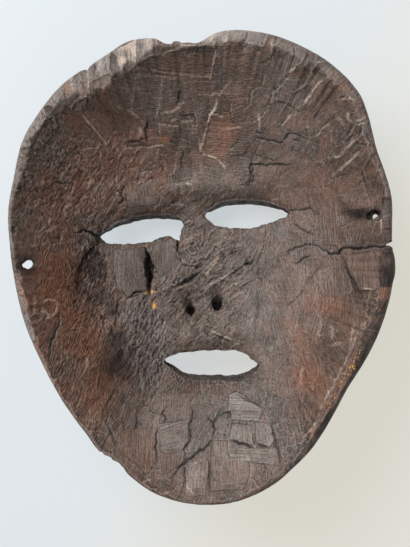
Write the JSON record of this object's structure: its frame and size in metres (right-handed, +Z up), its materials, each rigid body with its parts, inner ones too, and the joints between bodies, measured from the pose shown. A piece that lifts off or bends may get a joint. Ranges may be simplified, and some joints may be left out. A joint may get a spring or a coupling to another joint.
{
  "type": "shaman mask",
  "caption": "Carved wooden shaman mask lying face down: a deep hollow shell with slit eyes, nostrils, a mouth slot, tie holes and a split rim.",
  "frame": {"origin": "centre of the bounding box, on the plane that the nose tip and brows lie on", "axes": "+Z up out of the hollow, +Y towards the crown of the mask, +X to the right as one looks into the hollow"},
  "size_m": [0.2192, 0.2656, 0.1027],
  "materials": {
    "wood": "old hand-tooled hardwood, dark brown, handled to a dull gloss"
  },
  "bodies": {
    "root": {"mask": "wood"}
  },
  "joints": []
}
